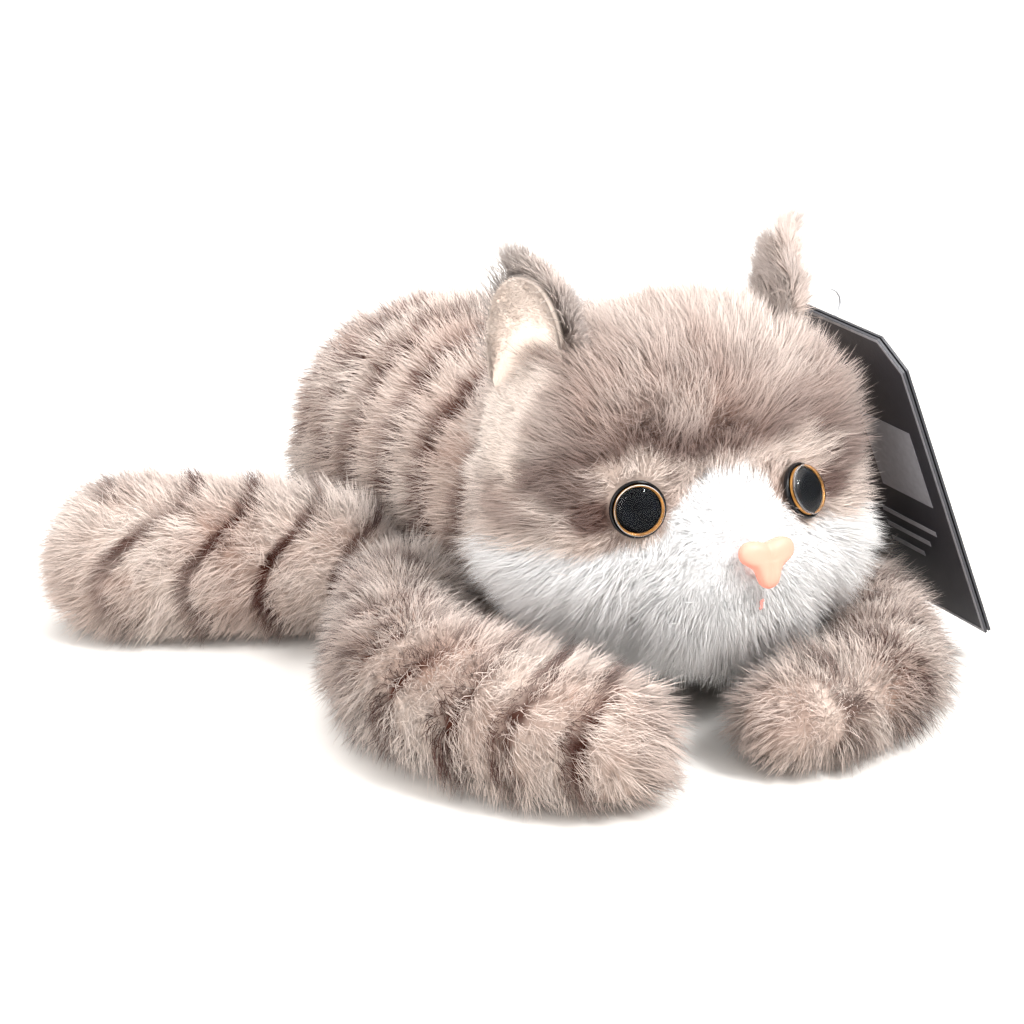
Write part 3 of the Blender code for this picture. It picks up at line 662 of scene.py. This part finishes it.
def make_head():
    grid = head_grid(SKIN)
    normals = grid_normals(grid)
    colour, white_here, _mark = head_coat(grid)
    # The head's backing cloth is painted darker than the coat, less so under white: painted shade under the pile.
    skin = skin_object("cloth_head", grid, colour * (0.72 + 0.25 * white_here[..., None]), M_SKIN)
    finish_piece(skin, "head",
                 ["head_back_panel", "head_crown_panel_left", "head_crown_panel_right", "head_cheek_panel_left",
                  "head_cheek_panel_right", "head_muzzle_panel"])
    roots, nrm, _ = sample(grid, normals, [], amount(HEAD_HAIRS), 0.75 + 0.6 * white_here)
    nose = head_point(NOSE_DIR)
    keep = np.linalg.norm(roots - nose, axis=1) > 4.4
    for word in EYE_DIRS:
        centre, axis = eye_place(word)
        flat = (roots - centre) - axis * ((roots - centre) @ axis)[:, None]
        keep &= (np.linalg.norm(flat, axis=1) > EYE_R - 0.4) | (np.abs((roots - centre) @ axis) > 12)
    roots, nrm = roots[keep], nrm[keep]
    away = roots - (nose + np.array([0, 8.0, 6.0]))
    comb = unit(away) + np.array([0, 0.15, 0.0])
    q = roots - HEAD_C
    comb[:, 2] -= 0.35 * (q[:, 2] < -6)
    from_nose = np.linalg.norm(roots - nose, axis=1)
    length = 3.8 + 6.6 * smooth(from_nose, 6, 34)
    for word in EYE_DIRS:
        centre, _axis = eye_place(word)
        near = np.linalg.norm(roots - centre, axis=1)
        ring = 1 - smooth(near, 8, 19)
        comb = comb * (1 - 0.8 * ring[:, None]) + unit(roots - centre) * (0.8 * ring[:, None])
        length = length * (1 - 0.45 * ring)
    chin = smooth(-q[:, 2], 14, 30) * (q[:, 1] < 10)
    cheek = smooth(np.abs(q[:, 0]), 22, 34) * smooth(-q[:, 2], 8, 14) * (q[:, 1] < 14)
    length = length * (1 + 0.3 * chin + 0.3 * cheek * (1 - chin))
    length = length * (0.92 + 0.25 * noise(roots, 8, 33)) * (1 - 0.7 * side_patch(q))
    wedge = (q[:, 2] < 8 - 1.1 * np.abs(q[:, 0])) & (q[:, 1] < 9)
    back = q[:, 1] >= 9
    left = q[:, 0] >= 0
    low = q[:, 2] < -12
    parts = {
        "head_back_left": back & left, "head_back_right": back & ~left, "head_muzzle": wedge & ~back,
        "head_crown_left": ~back & ~wedge & left & ~low, "head_crown_right": ~back & ~wedge & ~left & ~low,
        "head_cheek_left": ~back & ~wedge & left & low, "head_cheek_right": ~back & ~wedge & ~left & low,
    }

    def tint(spot, _shift):
        colour, white, mark = head_coat(spot)
        # The last value is the painted root shade: white hairs are painted much less dark at the root.
        return colour, np.where(white > 0.5, 0.3, 0.36 * (1 - 0.85 * mark)), 0.62 + 0.34 * white

    for word, mask in parts.items():
        ob = pile("pile_" + word, roots[mask], nrm[mask], comb[mask], length[mask], tint, M_PILE,
                  avoid=part_from_face, spread=0.30, lean=(0.35, 1.1))
        finish_piece(ob, "head")


make_head()


def make_eye(word):
    point, axis = eye_place(word)
    place = place_matrix(point, axis)
    lift = EYE_SINK
    top = lift + 1.4
    rim = [(0, -9.0), (2.2, -9.0), (2.2, lift), (6.9, lift), (7.25, lift + 0.3), (7.4, lift + 0.9),
           (7.3, top + 0.25), (7.0, top + 0.42), (6.75, top + 0.3), (6.7, top), (0, top)]
    back = lathe("eye_rim_" + word, rim, M_BLACK, place)
    finish_piece(back, "head", ["eye_back_" + word])
    ring = lathe("eye_gold_" + word, [(5.6, top + 0.3), (6.45, top + 0.3), (6.45, top + 0.55), (6.2, top + 0.8),
                                      (5.9, top + 0.8), (5.6, top + 0.6)], M_GOLD, place, ring=True)
    finish_piece(ring, "head", ["eye_gold_ring_" + word])
    iris = [(0, top + 0.3), (5.3, top + 0.3), (5.3, top + 0.5)]
    iris += [(r, top + 0.5 + 0.5 * (1 - (r / 5.3) ** 2)) for r in (4.4, 3.3, 2.2, 1.1)] + [(0, top + 1.0)]
    finish_piece(lathe("eye_disc_" + word, iris, M_PUPIL, place), "head", ["eye_pupil_" + word])
    low = top + 1.1
    dome = [(0, low), (5.5, low), (6.1, low + 0.05)]
    for k in range(1, 14):
        a = math.radians(90 * k / 14)
        dome.append((6.6 * math.cos(a) ** 0.9, low + 0.1 + 2.6 * math.sin(a)))
    dome.append((0, low + 2.7))
    finish_piece(lathe("eye_dome_" + word, dome, M_CLEAR, place), "head", ["eye_clear_dome_" + word])


make_eye("left")
make_eye("right")


def upright(place):
    up = place.to_3x3().inverted() @ Vector((0, 0, 1))
    return Matrix.Rotation(math.atan2(-up.x, up.y), 4, "Z")


def make_nose():
    place = place_matrix(head_point(NOSE_DIR), head_normal(NOSE_DIR))
    place = place @ upright(place)
    outline = [(-8.0, 3.6), (-7.2, 5.3), (-5.2, 6.1), (-3.0, 6.0), (-1.2, 5.4), (0.0, 5.0), (1.2, 5.4), (3.0, 6.0),
               (5.2, 6.1), (7.2, 5.3), (8.0, 3.6), (7.8, 1.6), (6.6, 0.3), (4.8, -0.6), (3.5, -2.0), (3.0, -4.0),
               (2.3, -5.8), (1.0, -6.6), (0.0, -6.7), (-1.0, -6.6), (-2.3, -5.8), (-3.0, -4.0), (-3.5, -2.0),
               (-4.8, -0.6), (-6.6, 0.3), (-7.8, 1.6)]
    base = NOSE_SINK
    verts, faces = [], []
    n = len(outline)
    for height, size in ((base, 0.9), (base + 0.9, 0.99), (base + 2.2, 1.0), (base + 3.2, 0.93), (base + 3.9, 0.78),
                         (base + 4.3, 0.55), (base + 4.4, 0.28)):
        for x, y in outline:
            groove = 0.55 * math.exp(-(x * size / 0.8) ** 2) * (1 if size < 0.95 else 0)
            verts.append(place @ Vector((x * size, y * size + (1 - size) * 0.6, height - groove)))
    for k in range(6):
        for j in range(n):
            m = (j + 1) % n
            faces.append((k * n + j, k * n + m, (k + 1) * n + m, (k + 1) * n + j))
    verts.append(place @ Vector((0, 0.6, base + 3.9)))
    for j in range(n):
        faces.append((6 * n + j, 6 * n + (j + 1) % n, len(verts) - 1))
    faces.append(list(range(n))[::-1])
    ob = new_mesh("nose_moulding", to_part([tuple(v) for v in verts]), faces, [M_NOSE])
    mod = ob.modifiers.new("round", "SUBSURF")
    mod.levels = mod.render_levels = 2
    finish_piece(ob, "head", ["nose"])

    spot = place_matrix(head_point(MOUTH_DIR), head_normal(MOUTH_DIR))
    spot = spot @ upright(spot)
    pts = [Vector((0.15 * math.sin(k * 1.3), 1.8 - k * 0.3, 0.2 + 0.3 * math.sin(k * 1.9))) for k in range(11)]
    curve = bpy.data.curves.new("mouth_thread", "CURVE")
    curve.dimensions = "3D"
    curve.bevel_depth = 0.4 * MM
    curve.bevel_resolution = 4
    curve.use_fill_caps = True
    spline = curve.splines.new("POLY")
    spline.points.add(len(pts) - 1)
    for point, p in zip(spline.points, pts):
        co = to_part(tuple(spot @ p))
        point.co = (*co, 1)
    ob = bpy.data.objects.new("mouth_thread", curve)
    curve.materials.append(M_THREAD)
    bpy.context.scene.collection.objects.link(ob)
    finish_piece(ob, "head", ["mouth_stitch"])


make_nose()


def ear_foot(x, y, z, radius, side):
    """How much the ear's foot rises towards the crown and falls towards the rear."""
    rear = np.maximum(side * x / EAR_R, 0.0)
    return (EAR_BASE_SLOPE * y - EAR_REAR_DROP * rear ** 1.5) * (1 - z / (1.25 * radius))


def ear_sheet(radius, depth, side, lift=0.0, rows=14, cols=40):
    """Points of a cupped half-round sheet, local frame, its foot down."""
    grid = np.zeros((rows + 1, cols + 1, 3))
    for i in range(rows + 1):
        for j in range(cols + 1):
            a = math.pi * j / cols
            x = radius * math.cos(a) * (0.9 if i == 0 else 1.0)
            z = 1.25 * radius * math.sin(a) * i / rows if i else -EAR_SKIRT
            y = depth + EAR_CURL * (EAR_R ** 2 - x ** 2 - 0.3 * (z - 0.5 * EAR_R) ** 2)
            grid[i, j] = (x, y, z + ear_foot(x, y, z, radius, side) + lift)
    return grid


def make_ear(side, word):
    d = np.array(EAR_DIR) * (side, 1, 1)
    root = head_point(d) + unit(d) * EAR_LIFT
    lean = Matrix.Rotation(math.radians(side * EAR_LEAN), 4, "Y")
    twist = Matrix.Rotation(math.radians(side * EAR_TURN), 4, "Z")
    place = Matrix.Translation(Vector([float(c) for c in root])) @ lean @ twist
    spin = np.array(place)

    def world(points):
        return points @ spin[:3, :3].T + spin[:3, 3]

    def plate(name, radius, y0, y1, colour, mat, node, lift=0.0):
        a = ear_sheet(radius, y0, side, lift)
        b = ear_sheet(radius, y1, side, lift)
        rows, cols = a.shape[:2]
        verts = np.concatenate([world(a.reshape(-1, 3)), world(b.reshape(-1, 3))])
        ob = new_mesh(name, to_part(verts), sheet_faces(rows, cols), [mat])
        paint(ob.data, np.tile(colour, (len(verts), 1)))
        finish_piece(ob, "ear_" + word, [node])

    # The ear's back cloth is painted at 0.6 of the light coat colour: painted shade under the pile.
    plate("ear_back_" + word, EAR_R - 0.6, 0.6, 2.4, LIGHT * 0.6, M_SKIN, "ear_plush_" + word)
    plate("ear_velour_" + word, EAR_R - 0.6, -1.6, 0.4, CREAM, M_VELOUR, "ear_lining_" + word, 0.6)

    n = amount(EAR_HAIRS)
    a = RNG.random(n) * math.pi
    r = RNG.random(n)
    to_front = -side * np.cos(a)
    r[(np.arange(n) < n // 2) & (to_front > -0.35)] = 1.0
    x = EAR_R * np.cos(a)
    hem = 0.6 * EAR_SKIRT * (r < 1)
    z = (1.25 * EAR_R * np.sin(a) + hem) * r - hem + 0.5
    y = 2.2 + EAR_CURL * (EAR_R ** 2 - x ** 2 - 0.3 * (z - 0.5 * EAR_R) ** 2)
    rim = (r > 0.97).astype(float)
    y = y - rim * RNG.random(n) * 2.0
    roots = np.stack([x, y, z + ear_foot(x, y, z, EAR_R, side)], 1)
    nrm = np.stack([x * 0.04, np.ones(n) * (1 - 0.75 * rim), 0.15 + 0.9 * rim * np.sin(a)], 1)
    nrm[:, 0] += 0.9 * rim * np.cos(a)
    comb = np.stack([0.4 * np.cos(a), np.zeros(n), 0.3 + np.sin(a)], 1)
    turn = spin[:3, :3]

    def back_tint(spot, _shift):
        height = spot[:, 2] - root[2]
        dark = np.clip(smooth(height, 2, 9) * 0.3 * (1 - smooth(height, 12, 18)) + noise(spot, 5, 3) * 0.2, 0, 0.6)
        # The last value is the painted root shade of the ear's back hairs.
        return blend_colour(ground_coat(spot), DARK, dark), np.full(len(spot), 0.5), np.full(len(spot), 0.6)

    ob = pile("pile_ear_" + word, world(roots), unit(nrm @ turn.T), unit(comb @ turn.T), EAR_PILE + 3.0 * rim,
              back_tint, M_PILE)
    finish_piece(ob, "ear_" + word)

    n = amount(NAP_HAIRS)
    a = RNG.random(n) * math.pi
    r = np.sqrt(RNG.random(n))
    rr = EAR_R - 0.6
    x = rr * np.cos(a)
    z = 1.25 * rr * np.sin(a) * r + 0.6
    y = -1.6 + EAR_CURL * (EAR_R ** 2 - x ** 2 - 0.3 * (z - 0.6 - 0.5 * EAR_R) ** 2)
    roots = np.stack([x, y, z + ear_foot(x, y, z - 0.6, rr, side)], 1)
    nrm = np.tile([0.0, -1.0, 0.1], (n, 1))
    comb = np.tile([0.0, 0.0, 1.0], (n, 1))
    # Nap hairs get only a light painted root shade (0.85 of their colour at the root).
    ob = pile("nap_ear_" + word, world(roots), unit(nrm @ turn.T), unit(comb @ turn.T), np.full(n, NAP_PILE),
              lambda spot, _shift: (np.tile(CREAM, (len(spot), 1)), np.full(len(spot), 0.1),
                                    np.full(len(spot), 0.85)), M_PILE, width=0.15)
    finish_piece(ob, "ear_" + word)


make_ear(1, "left")
make_ear(-1, "right")


# ---- tag: the CAD cards stay, with a border, a plain patch and three plain strokes on the inner face ----
TAG_PLACE = Matrix.Translation((51.5, 23.0, 94.5)) @ Matrix.Rotation(math.radians(-21.7), 4, "Y")
TAG_W, TAG_L, TAG_CLIP = 50.0, 92.0, 8.0


def tag_shape(name, loops, mat, x0=-0.36, thick=0.1):
    """Thin print on the card's inner face: loops of (y, z), one loop a face each, or two as a border."""
    verts, faces = [], []
    for x in (x0, x0 - thick):
        for loop in loops:
            verts += [TAG_PLACE @ Vector((x, y, z)) for y, z in loop]
    n = len(loops[0])
    total = n * len(loops)
    if len(loops) == 2:
        for j in range(n):
            k = (j + 1) % n
            faces += [(j, k, n + k, n + j), (total + j, total + n + j, total + n + k, total + k),
                      (j, total + j, total + k, k), (n + j, n + k, total + n + k, total + n + j)]
    else:
        faces += [tuple(range(n)), tuple(total + j for j in reversed(range(n)))]
        for j in range(n):
            faces.append((j, total + j, total + (j + 1) % n, (j + 1) % n))
    ob = new_mesh(name, to_part([tuple(v) for v in verts]), faces, [mat], smooth_faces=False)
    return finish_piece(ob, "tag")


def tag_outline(inset):
    c = TAG_CLIP - 0.4 * inset
    return [(-inset, -inset), (-inset, -TAG_L + inset), (-TAG_W + inset, -TAG_L + inset),
            (-TAG_W + inset, -c - inset), (-TAG_W + c + inset, -inset)]


tag_shape("tag_border", [tag_outline(0.15), tag_outline(1.0)], M_FOIL)
tag_shape("tag_patch", [[(-19, -29), (-19, -53), (-43, -53), (-43, -29)]], M_FOIL)
for k in range(3):
    z = -62.0 - 5 * k
    tag_shape(f"tag_line_{k}", [[(-14, z), (-14, z - 1.6), (-40 + 5 * k, z - 1.6), (-40 + 5 * k, z)]], M_FOIL)

def make_label():
    """A folded satin tab, slightly waved, sewn into the rump seam."""
    place = Matrix.Translation(LABEL_AT) @ Matrix.Rotation(math.radians(LABEL_TURN), 4, "Z")
    rows, cols, half_long, half_high, thick = 9, 17, 8.0, 6.0, 0.25
    verts = []
    for face in (1, -1):
        for i in range(rows):
            for j in range(cols):
                along = 2 * j / (cols - 1) - 1
                up = 2 * i / (rows - 1) - 1
                wave = 0.25 * math.sin(3.0 * along + 0.8 * up)
                verts.append(place @ Vector((wave + face * thick * (1 - 0.5 * abs(along) ** 8), half_long * along,
                                             half_high * up)))
    ob = new_mesh("label_tab", to_part([tuple(v) for v in verts]), sheet_faces(rows, cols), [M_LABEL])
    finish_piece(ob, "torso", ["care_label"])


make_label()

# ---- CAD nodes that stay as they are, each with a material ----
KEPT = {"stuffing": M_FIBRE, "bean_bag": M_BAG, "washer": M_WASHER, "card": M_CARD, "loop": M_LOOP,
        "neck_gusset": M_GUSSET}
for node, ob in frame["nodes"].items():
    for word, mat in KEPT.items():
        if word in node and not ob.hide_render:
            ob.data.materials.clear()
            ob.data.materials.append(mat)


# ---- floor, lights, camera ----
def make_stage():
    n, half = 24, 4.0
    verts = [(-half + 2 * half * i / n, -half + 2 * half * j / n, 0.0) for i in range(n + 1) for j in range(n + 1)]
    faces = [(i * (n + 1) + j, (i + 1) * (n + 1) + j, (i + 1) * (n + 1) + j + 1, i * (n + 1) + j + 1)
             for i in range(n) for j in range(n)]
    floor = new_mesh("floor", verts, faces, [M_FLOOR])


def area_light(name, where, aim, size, power, colour=(1, 1, 1)):
    data = bpy.data.lights.new(name, "AREA")
    data.size = size
    data.energy = power
    data.color = colour
    ob = bpy.data.objects.new(name, data)
    ob.location = where
    ob.rotation_euler = (Vector(aim) - Vector(where)).to_track_quat("-Z", "Y").to_euler()
    bpy.context.scene.collection.objects.link(ob)


make_stage()
area_light("key", (0.35, -0.9, 1.1), (0, 0, 0.04), 0.4, 24)
area_light("fill", (-1.2, -0.5, 0.6), (0, 0, 0.04), 1.0, 13)
area_light("top", (-0.1, 0.5, 1.4), (0, 0, 0.03), 1.2, 14)

world = bpy.data.worlds.new("studio")
bpy.context.scene.world = world
world.use_nodes = True
sky = world.node_tree
place = sky.nodes.new("ShaderNodeTexCoord")
split = sky.nodes.new("ShaderNodeSeparateXYZ")
ramp = sky.nodes.new("ShaderNodeMapRange")
ramp.inputs["From Min"].default_value = 0.1
ramp.inputs["From Max"].default_value = 0.75
ramp.inputs["To Min"].default_value = 0.25
ramp.inputs["To Max"].default_value = 1.5
sky.links.new(place.outputs["Generated"], split.inputs["Vector"])
sky.links.new(split.outputs["Z"], ramp.inputs["Value"])
sky.links.new(ramp.outputs["Result"], sky.nodes["Background"].inputs["Strength"])
sky.nodes["Background"].inputs["Color"].default_value = (1.0, 0.99, 0.98, 1)
bpy.context.scene.view_settings.view_transform = "Standard"

AZ, EL, DIST = math.radians(-30), math.radians(18), 775.0
back = Vector((math.sin(AZ) * math.cos(EL), -math.cos(AZ) * math.cos(EL), math.sin(EL)))
eye_at = Vector((0, 0, 64)) + back * DIST
aim_at = Vector((-37.9, 16.5, 49.7))
cam_data = bpy.data.cameras.new("camera")
cam_data.lens = 103.5
cam_data.sensor_width = 36
cam_data.clip_start = 0.01
cam = bpy.data.objects.new("camera", cam_data)
cam.location = to_part(tuple(eye_at))
cam.rotation_euler = (aim_at - eye_at).to_track_quat("-Z", "Y").to_euler()
bpy.context.scene.collection.objects.link(cam)
bpy.context.scene.camera = cam

bpy.context.view_layer.update()
